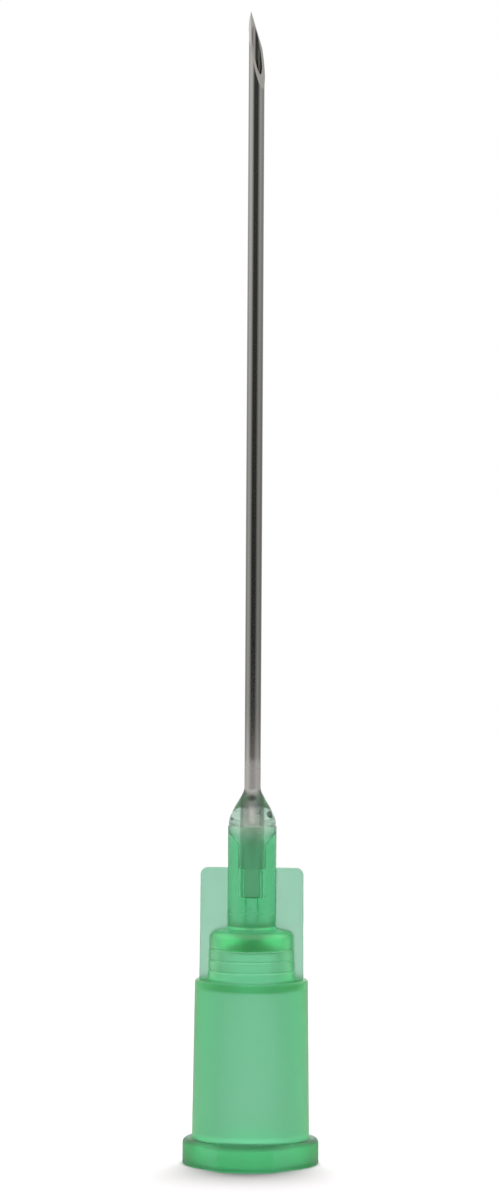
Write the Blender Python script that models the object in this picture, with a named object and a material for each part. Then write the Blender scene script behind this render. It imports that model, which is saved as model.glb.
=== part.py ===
"""Hypodermic needle, 0.8 mm by 38 mm, standing on the open mouth of its hub.

It has three real pieces: a moulded polypropylene hub with a tapered socket, a
ground steel cannula, and the clear adhesive that bonds the cannula in the hub's
nose. Metres, +Z up, with the origin at the centre of the hub's mouth.
"""

import math

import bmesh
import bpy
from mathutils import Matrix, Vector
from mathutils.geometry import interpolate_bezier

MM = 0.001

# Steel cannula
CANNULA_OD = 0.81 * MM
CANNULA_BORE = 0.51 * MM
CANNULA_EXPOSED = 38.25 * MM  # from the top of the adhesive to the point
CANNULA_SEAT_DEPTH = 3.58 * MM  # from the nose's rim down to the step it stands on
CANNULA_END_BREAK = 0.03 * MM  # broken edges of the blunt inner end
BEVEL_ANGLE = math.radians(12.0)  # main grind, from the cannula's axis
LANCET_ANGLE = math.radians(17.2)  # the two side grinds, from the axis
LANCET_TURN = math.radians(45.0)  # how far each side grind is turned from the main one
BEVEL_FACING = math.radians(-40.0)  # where the bevel looks, about +Z from +X

# Tapered socket in the hub, for a syringe's nozzle
SOCKET_MOUTH_R = 2.15 * MM
SOCKET_TAPER = 0.03  # fall of the radius over the depth, a 6 percent cone
SOCKET_DEPTH = 8.60 * MM
SOCKET_LEAD_IN = 0.12 * MM  # chamfer of the mouth
SOCKET_FLOOR_DROP = 0.35 * MM  # height of the cone from the socket to the chamber

# Flange with two lugs, round the mouth
FLANGE_HEIGHT = 1.26 * MM
FLANGE_OVERHANG = 0.465 * MM  # beyond the skirt's foot
FLANGE_TOP_ROUND = 0.25 * MM
FLANGE_FOOT_ROUND = 0.09 * MM
LUG_REACH = 0.535 * MM  # beyond the flange's round rim
LUG_HALF_SWEEP = math.radians(17.0)  # of the tip, about the axis, up to its round corners
LUG_CORNER = 0.60 * MM

# Skirt, the wide part of the hub
SKIRT_WALL = 0.75 * MM  # at the mouth
SKIRT_DRAFT = 0.0135  # fall of the radius over the height
SKIRT_ROOF = 0.53 * MM  # above the socket's floor
SKIRT_TOP_ROUND = 0.14 * MM
SKIRT_FOOT_FILLET = 0.10 * MM

# Neck, with three shallow rings
NECK_LEDGE = 0.63 * MM  # how far the neck's foot stands back from the skirt's edge
NECK_DRAFT = 0.035
NECK_HEIGHT = 2.50 * MM
NECK_WALL = 0.80 * MM
NECK_FOOT_FILLET = 0.08 * MM
NECK_TOP_ROUND = 0.42 * MM
NECK_ROOF = 0.55 * MM  # from the neck's top down to the chamber's cone
NECK_CROWN_RISE = 0.06 * MM  # slope of the neck's top, up to the nose
CHAMBER_CONE_HEIGHT = 0.60 * MM
RING_COUNT = 3
RING_FIRST = 0.45 * MM  # above the neck's foot
RING_PITCH = 0.54 * MM
RING_GROOVE_HEIGHT = 0.13 * MM
RING_GROOVE_DEPTH = 0.045 * MM

# Nose, which holds the cannula
NOSE_R = 1.21 * MM
NOSE_HEIGHT = 5.12 * MM  # from the neck's top to the rim
NOSE_FOOT_FILLET = 0.16 * MM
NOSE_RIM_ROUND = 0.04 * MM
NOSE_LIP = 0.17 * MM  # wall at the rim
FUNNEL_DEPTH = 1.00 * MM

# Two wings, one thin plate that crosses the neck and the nose
WING_INSET = 0.22 * MM  # how far the wings' feet stand back from the skirt's edge
WING_DRAFT = 0.007
WING_HEIGHT = 5.52 * MM  # above the skirt's top
WING_THICKNESS = 0.46 * MM
WING_CORNER = 0.36 * MM
WING_EDGE_ROUND = 0.05 * MM

# Adhesive
ADHESIVE_FILM = 0.05 * MM  # room round the cannula in the nose's bore
ADHESIVE_DEPTH = 2.15 * MM  # below the rim
ADHESIVE_CONE_HEIGHT = 1.80 * MM  # above the rim
ADHESIVE_TOP_EDGE = 0.015 * MM  # width of the meniscus where it ends on the steel
DOME_SWELL = 0.08 * MM  # how far outside the cone's foot its lower handle lies
DOME_FULLNESS = 0.33  # height of the lower handle, as a share of the cone's height
MENISCUS_SWEEP = 0.18  # length of the upper handle, as a share of the cone's height

# Clearances and facets
GLUE_GAP = 0.01 * MM  # between two bonded surfaces
FLOW_STEP = 0.01 * MM  # how much wider the hub's flow bore is than the cannula's
OVERSHOOT = 0.5 * MM  # how far a cutter runs past what it cuts
EMBED = 0.2 * MM  # how far a moulded feature reaches into its neighbour before the union
TURNS = 48  # facets round a turned surface
MOULDED_SHARP = math.radians(35.0)  # edges that turn more are shaded sharp
GROUND_SHARP = math.radians(10.0)  # the same on the steel, so that the grinds' edges show
ROUND_STEPS = 3  # facets in a rounded edge
CONE_STEPS = 10  # facets up the adhesive's cone
MERGE_DISTANCE = 1e-8

# Sizes that follow
CANNULA_R = CANNULA_OD / 2
CANNULA_BORE_R = CANNULA_BORE / 2
SKIRT_FOOT_R = SOCKET_MOUTH_R + SKIRT_WALL
FLANGE_R = SKIRT_FOOT_R + FLANGE_OVERHANG
LUG_R = FLANGE_R + LUG_REACH
SKIRT_TOP_Z = SOCKET_DEPTH + SKIRT_ROOF
SKIRT_TOP_R = SKIRT_FOOT_R - SKIRT_DRAFT * (SKIRT_TOP_Z - FLANGE_HEIGHT)
SOCKET_FLOOR_R = SOCKET_MOUTH_R - SOCKET_TAPER * SOCKET_DEPTH
NECK_R = SKIRT_TOP_R - NECK_LEDGE
NECK_TOP_Z = SKIRT_TOP_Z + NECK_HEIGHT
CHAMBER_R = NECK_R - NECK_WALL
RIM_Z = NECK_TOP_Z + NOSE_HEIGHT
SEAT_Z = RIM_Z - CANNULA_SEAT_DEPTH
SEAT_R = CANNULA_R + ADHESIVE_FILM
FLOW_R = CANNULA_BORE_R + FLOW_STEP
FUNNEL_R = NOSE_R - NOSE_LIP
WING_REACH = SKIRT_TOP_R - WING_INSET
WING_TOP_Z = SKIRT_TOP_Z + WING_HEIGHT
TIP_Z = RIM_Z + ADHESIVE_CONE_HEIGHT + CANNULA_EXPOSED


def clear_scene():
    for thing in list(bpy.data.objects):
        bpy.data.objects.remove(thing, do_unlink=True)


def principled(name, colour, roughness, metallic=0.0, transmission=0.0):
    """A material with one Principled shader in the given finish."""
    material = bpy.data.materials.new(name)
    material.use_nodes = True
    shader = material.node_tree.nodes["Principled BSDF"]
    shader.inputs["Base Color"].default_value = (*colour, 1.0)
    shader.inputs["Roughness"].default_value = roughness
    shader.inputs["Metallic"].default_value = metallic
    shader.inputs["Transmission Weight"].default_value = transmission
    material.diffuse_color = (*colour, 1.0)
    return material


def arc(centre, radius, start_deg, end_deg, steps=ROUND_STEPS):
    """Points of an arc in a profile or an outline, both ends included."""
    points = []
    for step in range(steps + 1):
        angle = math.radians(start_deg + (end_deg - start_deg) * step / steps)
        across = centre[0] + radius * math.cos(angle)
        along = centre[1] + radius * math.sin(angle)
        points.append((across, along))
    return points


def object_from(bm, name, material=None):
    """Turns a bmesh into an object in the scene."""
    bmesh.ops.recalc_face_normals(bm, faces=bm.faces)
    mesh = bpy.data.meshes.new(name)
    bm.to_mesh(mesh)
    bm.free()
    if material is not None:
        mesh.materials.append(material)
    made = bpy.data.objects.new(name, mesh)
    bpy.context.scene.collection.objects.link(made)
    return made


def shade(piece, sharp_angle):
    """Smooth shading, with sharp edges where the surface turns by more than the angle."""
    piece.data.shade_smooth()
    piece.data.set_sharp_from_angle(angle=sharp_angle)


def turned(profile, closed=False, start_angle=0.0):
    """A bmesh with the profile's (r, z) points spun round the Z axis.

    An open profile starts and ends on the axis. A closed one stays clear of it.
    """
    bm = bmesh.new()
    verts = [bm.verts.new((r, 0.0, z)) for r, z in profile]
    edges = [bm.edges.new(pair) for pair in zip(verts, verts[1:])]
    if closed:
        edges.append(bm.edges.new((verts[-1], verts[0])))
    turn = Matrix.Rotation(start_angle, 3, "Z")
    bmesh.ops.rotate(bm, verts=verts, cent=(0, 0, 0), matrix=turn)
    bmesh.ops.spin(
        bm,
        geom=verts + edges,
        cent=(0, 0, 0),
        axis=(0, 0, 1),
        angle=math.tau,
        steps=TURNS,
        use_merge=True,
    )
    bmesh.ops.remove_doubles(bm, verts=bm.verts, dist=MERGE_DISTANCE)
    return bm


def boolean(target, tool, operation):
    """Joins the tool to the target or cuts it away, and drops the tool."""
    modifier = target.modifiers.new(tool.name, "BOOLEAN")
    modifier.operation = operation
    modifier.solver = "EXACT"
    modifier.object = tool
    graph = bpy.context.evaluated_depsgraph_get()
    target.data = bpy.data.meshes.new_from_object(target.evaluated_get(graph))
    target.modifiers.remove(modifier)
    bpy.data.objects.remove(tool)


def neck_radius(height):
    """The neck's outer radius at a height above its foot."""
    return NECK_R - NECK_DRAFT * height


def ring_grooves():
    """Profile points of the shallow grooves that part the neck's rings."""
    points = []
    for ring in range(RING_COUNT):
        middle = RING_FIRST + ring * RING_PITCH
        low = middle - RING_GROOVE_HEIGHT / 2
        high = middle + RING_GROOVE_HEIGHT / 2
        points.append((neck_radius(low), SKIRT_TOP_Z + low))
        points.append((neck_radius(middle) - RING_GROOVE_DEPTH, SKIRT_TOP_Z + middle))
        points.append((neck_radius(high), SKIRT_TOP_Z + high))
    return points


def hub_outside():
    """The hub's turned outside, from inside the flange up to the nose's rim."""
    neck_top_r = neck_radius(NECK_HEIGHT - NECK_TOP_ROUND)
    crown_z = NECK_TOP_Z - NECK_CROWN_RISE
    profile = [(0.0, FLANGE_HEIGHT / 2)]
    profile.append((SKIRT_FOOT_R + SKIRT_FOOT_FILLET, FLANGE_HEIGHT / 2))
    profile += arc(
        (SKIRT_FOOT_R + SKIRT_FOOT_FILLET, FLANGE_HEIGHT + SKIRT_FOOT_FILLET),
        SKIRT_FOOT_FILLET,
        270,
        180,
    )
    profile += arc(
        (SKIRT_TOP_R - SKIRT_TOP_ROUND, SKIRT_TOP_Z - SKIRT_TOP_ROUND),
        SKIRT_TOP_ROUND,
        0,
        90,
    )
    profile += arc(
        (NECK_R + NECK_FOOT_FILLET, SKIRT_TOP_Z + NECK_FOOT_FILLET),
        NECK_FOOT_FILLET,
        270,
        180,
    )
    profile += ring_grooves()
    profile += arc(
        (neck_top_r - NECK_TOP_ROUND, crown_z - NECK_TOP_ROUND),
        NECK_TOP_ROUND,
        0,
        90,
        steps=2 * ROUND_STEPS,
    )
    profile += arc(
        (NOSE_R + NOSE_FOOT_FILLET, NECK_TOP_Z + NOSE_FOOT_FILLET),
        NOSE_FOOT_FILLET,
        270,
        180,
    )
    profile += arc(
        (NOSE_R - NOSE_RIM_ROUND, RIM_Z - NOSE_RIM_ROUND),
        NOSE_RIM_ROUND,
        0,
        90,
    )
    profile.append((0.0, RIM_Z))
    return turned(profile)


def hub_inside():
    """The cutter for the hub's way through: socket, chamber, flow bore and funnel."""
    chamber_top_z = NECK_TOP_Z - NECK_ROOF - CHAMBER_CONE_HEIGHT
    funnel_slope = (FUNNEL_R - SEAT_R) / FUNNEL_DEPTH
    profile = [
        (0.0, -OVERSHOOT),
        (SOCKET_MOUTH_R + SOCKET_LEAD_IN + OVERSHOOT, -OVERSHOOT),
        (SOCKET_MOUTH_R, SOCKET_LEAD_IN),
        (SOCKET_FLOOR_R, SOCKET_DEPTH),
        (CHAMBER_R, SOCKET_DEPTH + SOCKET_FLOOR_DROP),
        (CHAMBER_R, chamber_top_z),
        (FLOW_R, chamber_top_z + CHAMBER_CONE_HEIGHT),
        (FLOW_R, SEAT_Z),
        (SEAT_R, SEAT_Z),
        (SEAT_R, RIM_Z - FUNNEL_DEPTH),
        (FUNNEL_R + funnel_slope * OVERSHOOT, RIM_Z + OVERSHOOT),
        (0.0, RIM_Z + OVERSHOOT),
    ]
    return turned(profile)


def flange_outline():
    """The flange seen from above: a disc drawn out to a lug at the back and the front.

    A lug's tip is an arc about the axis with round corners, and its straight flanks
    meet the disc without a kink.
    """
    corner_r = LUG_R - LUG_CORNER
    corner = (corner_r * math.sin(LUG_HALF_SWEEP), corner_r * math.cos(LUG_HALF_SWEEP))
    sweep = math.degrees(LUG_HALF_SWEEP)
    flank = sweep + math.degrees(math.acos((FLANGE_R - LUG_CORNER) / corner_r))
    right = arc(corner, LUG_CORNER, 90 - flank, 90 - sweep, steps=2 * ROUND_STEPS)
    tip = arc((0, 0), LUG_R, 90 - sweep, 90 + sweep, steps=2 * ROUND_STEPS)
    left = [(-x, y) for x, y in reversed(right)]
    rim = arc((0, 0), FLANGE_R, 90 + flank, 270 - flank, steps=TURNS // 4)
    half = right + tip[1:-1] + left + rim
    return half + [(-x, -y) for x, y in half]


def flange_plate():
    """The flange's plate, with its upper and lower edges rounded."""
    bm = bmesh.new()
    floor = bm.faces.new([bm.verts.new((x, y, 0.0)) for x, y in flange_outline()])
    raised = bmesh.ops.extrude_face_region(bm, geom=[floor])["geom"]
    top_verts = [item for item in raised if isinstance(item, bmesh.types.BMVert)]
    bmesh.ops.translate(bm, verts=top_verts, vec=(0.0, 0.0, FLANGE_HEIGHT))
    for height, radius in ((FLANGE_HEIGHT, FLANGE_TOP_ROUND), (0.0, FLANGE_FOOT_ROUND)):
        rim = [
            edge
            for edge in bm.edges
            if all(abs(vert.co.z - height) < MERGE_DISTANCE for vert in edge.verts)
        ]
        bmesh.ops.bevel(
            bm,
            geom=rim,
            offset=radius,
            offset_type="OFFSET",
            affect="EDGES",
            segments=ROUND_STEPS,
            profile=0.5,
            material=-1,
        )
    return bm


def wing_plate():
    """Both wings as one plate, standing on the skirt, with round upper corners."""
    foot_z = SKIRT_TOP_Z - EMBED
    top_reach = WING_REACH - WING_DRAFT * WING_HEIGHT
    right = [(WING_REACH + WING_DRAFT * EMBED, foot_z)]
    right += arc(
        (top_reach - WING_CORNER, WING_TOP_Z - WING_CORNER),
        WING_CORNER,
        0,
        90,
        steps=2 * ROUND_STEPS,
    )
    outline = right + [(-x, z) for x, z in reversed(right)]
    bm = bmesh.new()
    back = [bm.verts.new((x, WING_THICKNESS / 2, z)) for x, z in outline]
    plate = bm.faces.new(back)
    moved = bmesh.ops.extrude_face_region(bm, geom=[plate])["geom"]
    front = [item for item in moved if isinstance(item, bmesh.types.BMVert)]
    bmesh.ops.translate(bm, verts=front, vec=(0.0, -WING_THICKNESS, 0.0))
    around = [
        edge
        for edge in bm.edges
        if abs(edge.verts[0].co.y - edge.verts[1].co.y) < MERGE_DISTANCE
        and max(vert.co.z for vert in edge.verts) > foot_z + MERGE_DISTANCE
    ]
    bmesh.ops.bevel(
        bm,
        geom=around,
        offset=WING_EDGE_ROUND,
        offset_type="OFFSET",
        affect="EDGES",
        segments=1,
        profile=0.5,
        material=-1,
    )
    return bm


def make_hub():
    green = principled("hub_green_polypropylene", (0.09, 0.50, 0.24), 0.42, transmission=0.25)
    hub = object_from(hub_outside(), "hub", green)
    boolean(hub, object_from(flange_plate(), "hub_flange_plate", green), "UNION")
    boolean(hub, object_from(wing_plate(), "hub_wing_plate", green), "UNION")
    boolean(hub, object_from(hub_inside(), "hub_way_through", green), "DIFFERENCE")
    shade(hub, MOULDED_SHARP)
    return hub


def grind(cannula, name, tip, turn, angle):
    """Cuts one flat face through the tip, at the angle to the axis.

    The face looks the way that turn gives.
    """
    side = 4 * CANNULA_OD / math.tan(BEVEL_ANGLE)
    facing = Vector((math.cos(turn), math.sin(turn), 0.0))
    normal = facing * math.cos(angle) + Vector((0.0, 0.0, math.sin(angle)))
    bm = bmesh.new()
    bmesh.ops.create_cube(bm, size=side)
    stone = object_from(bm, name)
    stone.rotation_euler = normal.to_track_quat("Z", "Y").to_euler()
    stone.location = cannula.location + tip + normal * side / 2
    boolean(cannula, stone, "DIFFERENCE")


def make_cannula():
    """The tube, blunt inside the hub and ground to a three-facet point at the top."""
    steel = principled("cannula_steel", (0.60, 0.60, 0.58), 0.22, metallic=1.0)
    foot_z = SEAT_Z + GLUE_GAP
    length = TIP_Z - foot_z
    profile = [
        (CANNULA_BORE_R, length + OVERSHOOT),
        (CANNULA_BORE_R, CANNULA_END_BREAK),
        (CANNULA_BORE_R + CANNULA_END_BREAK, 0.0),
        (CANNULA_R - CANNULA_END_BREAK, 0.0),
        (CANNULA_R, CANNULA_END_BREAK),
        (CANNULA_R, length + OVERSHOOT),
    ]
    tube = turned(profile, closed=True, start_angle=BEVEL_FACING)
    cannula = object_from(tube, "cannula", steel)
    cannula.location = (0.0, 0.0, foot_z)
    facing = Vector((math.cos(BEVEL_FACING), math.sin(BEVEL_FACING), 0.0))
    tip = Vector((0.0, 0.0, length)) - facing * CANNULA_R
    grind(cannula, "grind_main", tip, BEVEL_FACING, BEVEL_ANGLE)
    grind(cannula, "grind_lancet_left", tip, BEVEL_FACING - LANCET_TURN, LANCET_ANGLE)
    grind(cannula, "grind_lancet_right", tip, BEVEL_FACING + LANCET_TURN, LANCET_ANGLE)
    shade(cannula, GROUND_SHARP)
    return cannula


def adhesive_cone(inner_r):
    """Profile points of the cone above the rim, a dome that ends in a meniscus."""
    foot = Vector((NOSE_R - NOSE_RIM_ROUND, GLUE_GAP, 0.0))
    top = Vector((inner_r + ADHESIVE_TOP_EDGE, ADHESIVE_CONE_HEIGHT, 0.0))
    lower = foot + Vector((DOME_SWELL, DOME_FULLNESS * ADHESIVE_CONE_HEIGHT, 0.0))
    upper = top - Vector((0.0, MENISCUS_SWEEP * ADHESIVE_CONE_HEIGHT, 0.0))
    curve = interpolate_bezier(foot, lower, upper, top, CONE_STEPS + 1)
    return [(point.x, point.y) for point in curve]


def make_adhesive():
    """The cured plug: a film round the cannula, the filled funnel and the cone."""
    clear = principled("adhesive_clear_epoxy", (0.78, 0.88, 0.82), 0.05, transmission=1.0)
    inner_r = CANNULA_R + GLUE_GAP
    profile = [
        (inner_r, -ADHESIVE_DEPTH),
        (SEAT_R - GLUE_GAP, -ADHESIVE_DEPTH),
        (SEAT_R - GLUE_GAP, -FUNNEL_DEPTH),
        (FUNNEL_R - GLUE_GAP, GLUE_GAP),
    ]
    profile += adhesive_cone(inner_r)
    profile.append((inner_r, ADHESIVE_CONE_HEIGHT))
    adhesive = object_from(turned(profile, closed=True), "adhesive", clear)
    adhesive.location = (0.0, 0.0, RIM_Z)
    shade(adhesive, MOULDED_SHARP)
    return adhesive


def main():
    clear_scene()
    needle = bpy.data.objects.new("needle", None)
    bpy.context.scene.collection.objects.link(needle)
    for piece in (make_hub(), make_cannula(), make_adhesive()):
        piece.parent = needle


main()
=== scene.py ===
"""The looks of a hypodermic needle that stands on its hub.

The hub is one translucent green moulding, the cannula a drawn steel tube with a
ground point, and the adhesive a clear plug with a few trapped bubbles. Each is
modelled again here, finer than the frame's own solid, at the same size and place.
"""

import math

import bmesh
import bpy
from bpy.props import FloatProperty, FloatVectorProperty, PointerProperty
from bpy.types import Operator, Panel, PropertyGroup
from mathutils import Matrix, Vector
from mathutils.geometry import interpolate_bezier


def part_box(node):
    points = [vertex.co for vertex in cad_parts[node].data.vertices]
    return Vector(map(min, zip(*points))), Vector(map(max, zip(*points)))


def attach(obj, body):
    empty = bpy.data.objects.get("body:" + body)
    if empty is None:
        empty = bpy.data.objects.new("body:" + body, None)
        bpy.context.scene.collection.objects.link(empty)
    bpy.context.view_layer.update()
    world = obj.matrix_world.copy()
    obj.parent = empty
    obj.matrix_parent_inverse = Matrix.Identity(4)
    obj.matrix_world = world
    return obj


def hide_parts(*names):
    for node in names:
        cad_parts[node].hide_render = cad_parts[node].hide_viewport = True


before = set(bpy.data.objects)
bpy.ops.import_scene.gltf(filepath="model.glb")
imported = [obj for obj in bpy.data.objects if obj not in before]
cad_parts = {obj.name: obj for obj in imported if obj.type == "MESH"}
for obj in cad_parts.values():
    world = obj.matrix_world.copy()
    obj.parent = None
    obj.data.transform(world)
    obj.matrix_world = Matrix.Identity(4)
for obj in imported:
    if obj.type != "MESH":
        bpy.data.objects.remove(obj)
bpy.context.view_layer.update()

bl_info = {
    "name": "Hypodermic needle",
    "version": (1, 0, 0),
    "blender": (4, 5, 0),
    "location": "View3D > Sidebar > Needle",
    "description": "Models a green hypodermic needle and its plain studio",
    "category": "Add Mesh",
}

MM = 0.001
BODY = "root"
WHITE = (1.0, 1.0, 1.0)

# Places taken from the frame
HUB_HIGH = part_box("hub")[1]
CANNULA_LOW, CANNULA_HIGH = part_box("cannula")
ADHESIVE_LOW, ADHESIVE_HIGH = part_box("adhesive")
FLANGE_R = HUB_HIGH.x
LUG_R = HUB_HIGH.y
RIM_Z = HUB_HIGH.z
CONE_TOP_Z = ADHESIVE_HIGH.z
TIP_Z = CANNULA_HIGH.z
CANNULA_FOOT_Z = CANNULA_LOW.z

# Socket, flange and skirt
SOCKET_MOUTH_R = 2.15 * MM
SOCKET_TAPER = 0.03
SOCKET_DEPTH = 8.60 * MM
SOCKET_LEAD_IN = 0.12 * MM
SOCKET_FLOOR_DROP = 0.35 * MM
FLANGE_HEIGHT = 1.26 * MM
FLANGE_TOP_ROUND = 0.25 * MM
FLANGE_FOOT_ROUND = 0.09 * MM
LUG_HALF_SWEEP = math.radians(17.0)
LUG_CORNER = 0.60 * MM
SKIRT_WALL = 0.75 * MM
SKIRT_FOOT_R = SOCKET_MOUTH_R + SKIRT_WALL
SKIRT_DRAFT = 0.0135
SKIRT_ROOF = 0.53 * MM
SKIRT_TOP_Z = SOCKET_DEPTH + SKIRT_ROOF
SKIRT_TOP_R = SKIRT_FOOT_R - SKIRT_DRAFT * (SKIRT_TOP_Z - FLANGE_HEIGHT)
SKIRT_TOP_ROUND = 0.14 * MM
SKIRT_FOOT_FILLET = 0.10 * MM

# Neck and its rings
NECK_LEDGE = 0.63 * MM
NECK_R = SKIRT_TOP_R - NECK_LEDGE
NECK_DRAFT = 0.035
NECK_HEIGHT = 2.50 * MM
NECK_WALL = 0.80 * MM
NECK_FOOT_FILLET = 0.08 * MM
NECK_TOP_ROUND = 0.42 * MM
NECK_ROOF = 0.55 * MM
NECK_CROWN_RISE = 0.06 * MM
NECK_TOP_Z = SKIRT_TOP_Z + NECK_HEIGHT
CHAMBER_CONE_HEIGHT = 0.60 * MM
RING_COUNT = 3
RING_FIRST = 0.45 * MM
RING_PITCH = 0.54 * MM
RING_GROOVE_HEIGHT = 0.13 * MM
RING_GROOVE_DEPTH = 0.045 * MM

# Nose
NOSE_R = 1.21 * MM
NOSE_FOOT_FILLET = 0.16 * MM
NOSE_RIM_ROUND = 0.04 * MM
NOSE_LIP = 0.17 * MM
FUNNEL_R = NOSE_R - NOSE_LIP
FUNNEL_DEPTH = 1.00 * MM
SEAT_GAP = 0.01 * MM
SEAT_Z = CANNULA_FOOT_Z - SEAT_GAP

# Wings
WING_INSET = 0.22 * MM
WING_DRAFT = 0.007
WING_HEIGHT = 5.52 * MM
WING_THICKNESS = 0.46 * MM
WING_CORNER = 0.36 * MM
WING_EDGE_ROUND = 0.05 * MM
WING_REACH = SKIRT_TOP_R - WING_INSET
WING_TOP_Z = SKIRT_TOP_Z + WING_HEIGHT

# Cannula
CANNULA_R = 0.405 * MM
CANNULA_BORE_R = 0.255 * MM
CANNULA_END_BREAK = 0.03 * MM
BEVEL_ANGLE = math.radians(12.0)
LANCET_ANGLE = math.radians(17.2)
LANCET_TURN = math.radians(45.0)
BEVEL_FACING = math.radians(-40.0)
SEAT_R = 0.455 * MM
FLOW_R = 0.265 * MM

# Adhesive
ADHESIVE_CONE_HEIGHT = CONE_TOP_Z - RIM_Z
ADHESIVE_TOP_EDGE = 0.015 * MM
DOME_SWELL = 0.08 * MM
DOME_FULLNESS = 0.33
MENISCUS_SWEEP = 0.18
WETTING = 0.004 * MM  # how far the adhesive reaches into what it wets, so that no air lies between

# Bubbles in the adhesive: reach from the axis, bearing from +X in degrees, height over the rim, radius
BUBBLES = (
    (0.83 * MM, -20.0, 0.50 * MM, 0.180 * MM),
    (0.90 * MM, 200.0, 0.27 * MM, 0.070 * MM),
    (0.60 * MM, -64.0, 0.57 * MM, 0.045 * MM),
    (0.58 * MM, -110.0, 0.57 * MM, 0.040 * MM),
    (0.62 * MM, -56.0, -0.42 * MM, 0.050 * MM),
)

# Facets and cutters
TURNS = 128
ROUND_STEPS = 6
CONE_STEPS = 40
MOULDED_SHARP = math.radians(32.0)
GROUND_SHARP = math.radians(8.0)
BUBBLE_SUBDIVISIONS = 4
FLAT = math.radians(0.1)  # faces that turn less than this are joined
FACET_SLOPE = (0.1, 0.5)  # the upward part of a ground facet's normal lies between these
MERGE_DISTANCE = 1e-8
OVERSHOOT = 0.5 * MM
EMBED = 0.2 * MM

# Zones of the hub's finish, each from where it starts to change to where it has changed
FLANGE_FADE = (FLANGE_HEIGHT, FLANGE_HEIGHT + 0.30 * MM)
NECK_COAT_START = (SKIRT_TOP_Z, SKIRT_TOP_Z + 0.20 * MM)
NECK_COAT_END = (NECK_TOP_Z + 0.07 * MM, NECK_TOP_Z + 0.57 * MM)
FROST_FADE = (NECK_TOP_Z - 0.23 * MM, NECK_TOP_Z + 1.77 * MM)
WING_FOOT_AT_NECK = (SKIRT_TOP_Z, SKIRT_TOP_Z + 0.10 * MM)
WING_ROOT_AT_NECK = (1.50 * MM, 1.60 * MM)
WING_FOOT_AT_NOSE = (NECK_TOP_Z, NECK_TOP_Z + 0.05 * MM)
WING_ROOT_AT_NOSE = (NOSE_R + 0.01 * MM, NOSE_R + 0.05 * MM)
WING_FACE = (WING_THICKNESS / 2, WING_THICKNESS / 2 + 0.02 * MM)
BORE_FOOT = (NECK_TOP_Z, NECK_TOP_Z + 0.10 * MM)
BORE_WALL = (FUNNEL_R + 0.02 * MM, FUNNEL_R + 0.08 * MM)

# Heights over which the hub keeps one tint, which blends into the next one. The flange's near-white
# tint, the untinted fillet band and the lifted shoulder band are painted light, which lightens places
# left in shade.
FLANGE_BAND = (0.0, FLANGE_HEIGHT - 0.14 * MM)
# Painted light: the fillet at the skirt's foot keeps no tint, which lightens the dark line that shade
# leaves there
FILLET_PAINTED_LIGHT_BAND = (FLANGE_HEIGHT - 0.04 * MM, FLANGE_HEIGHT + 0.12 * MM)
SKIRT_BAND = (FLANGE_HEIGHT + 0.34 * MM, SKIRT_TOP_Z - 0.51 * MM)
# Painted light: the band under the skirt's top is lifted over the skirt's tint, which lightens the
# dark band that shade leaves there
SHOULDER_PAINTED_LIGHT_BAND = (SKIRT_TOP_Z - 0.38 * MM, SKIRT_TOP_Z - 0.13 * MM)
NECK_BAND = (SKIRT_TOP_Z - 0.01 * MM, NECK_TOP_Z - 0.18 * MM)
NOSE_BAND = (NECK_TOP_Z + 0.12 * MM, RIM_Z - 1.05 * MM)
RIM_BAND = (RIM_Z - 0.15 * MM, RIM_Z)
# How much the painted light lifts the band under the skirt's top
SHOULDER_PAINTED_LIGHT_LIFT = 1.25  # over the skirt's tint

# Roughness of the plastic, and what each zone adds to it
CLEAR_ROUGHNESS = 0.10
FROST_ROUGHNESS = 0.32
FLANGE_ROUGHNESS = 0.15
CLOUD_ROUGHNESS = 0.06
GRAIN_ROUGHNESS = 0.05
NECK_COAT = 0.8

# Heights over which each finish of the cannula's lower end fades, and what it does to the steel. The
# much lighter colour where the steel is bonded is painted light.
BOND_END = (RIM_Z - 0.20 * MM, RIM_Z + 0.40 * MM)
BLAST_END = (CONE_TOP_Z + 0.85 * MM, CONE_TOP_Z + 1.65 * MM)
PALE_END = (CONE_TOP_Z + 1.05 * MM, CONE_TOP_Z + 4.45 * MM)
SATIN_END = (CONE_TOP_Z + 0.65 * MM, CONE_TOP_Z + 8.45 * MM)
# Painted light: a much lighter steel colour where the steel is bonded, which brightens the steel seen
# through the nose
PAINTED_LIGHT_BONDED_STEEL = (0.81, 0.79, 0.74)
BLAST_LIFT = 1.1
PALE_LIFT = 1.35
POLISH_ROUGHNESS = 0.09
LINE_ROUGHNESS = 0.04
SATIN_ROUGHNESS = 0.01
BLAST_ROUGHNESS = 0.20
FACET_ROUGHNESS = 0.24
FACET_LINE_ROUGHNESS = 0.12

# A painted dark reflection on the front of the steel, inside the cone
PAINTED_REFLECTION_Z = CONE_TOP_Z - 0.47 * MM
PAINTED_REFLECTION_HALF_WIDTH = 0.27 * MM
PAINTED_REFLECTION_HALF_HEIGHT = 0.23 * MM
PAINTED_REFLECTION_COLOUR = (0.05, 0.08, 0.05)
PAINTED_REFLECTION_DEPTH = (0.0, 0.2 * MM)  # before the axis

# Zones of the adhesive's finish, and of the painted green reflection of the hub on its dome
DOME_START = (RIM_Z - 0.02 * MM, RIM_Z + 0.04 * MM)
BESIDE_STEEL = (CANNULA_R - 0.045 * MM, CANNULA_R + 0.035 * MM)
BEFORE_AXIS = (0.0, 0.1 * MM)
# The dome's cast is a painted green reflection of the hub
CLEARER_BEFORE_STEEL = 0.75  # how much of the dome's cast is left out there
ADHESIVE_ROUGHNESS = 0.10
RIPPLE_ROUGHNESS = 0.04

# Floor
FLOOR_R = 225 * MM
FLOOR_COLOUR = (0.99, 0.965, 0.97)

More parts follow.
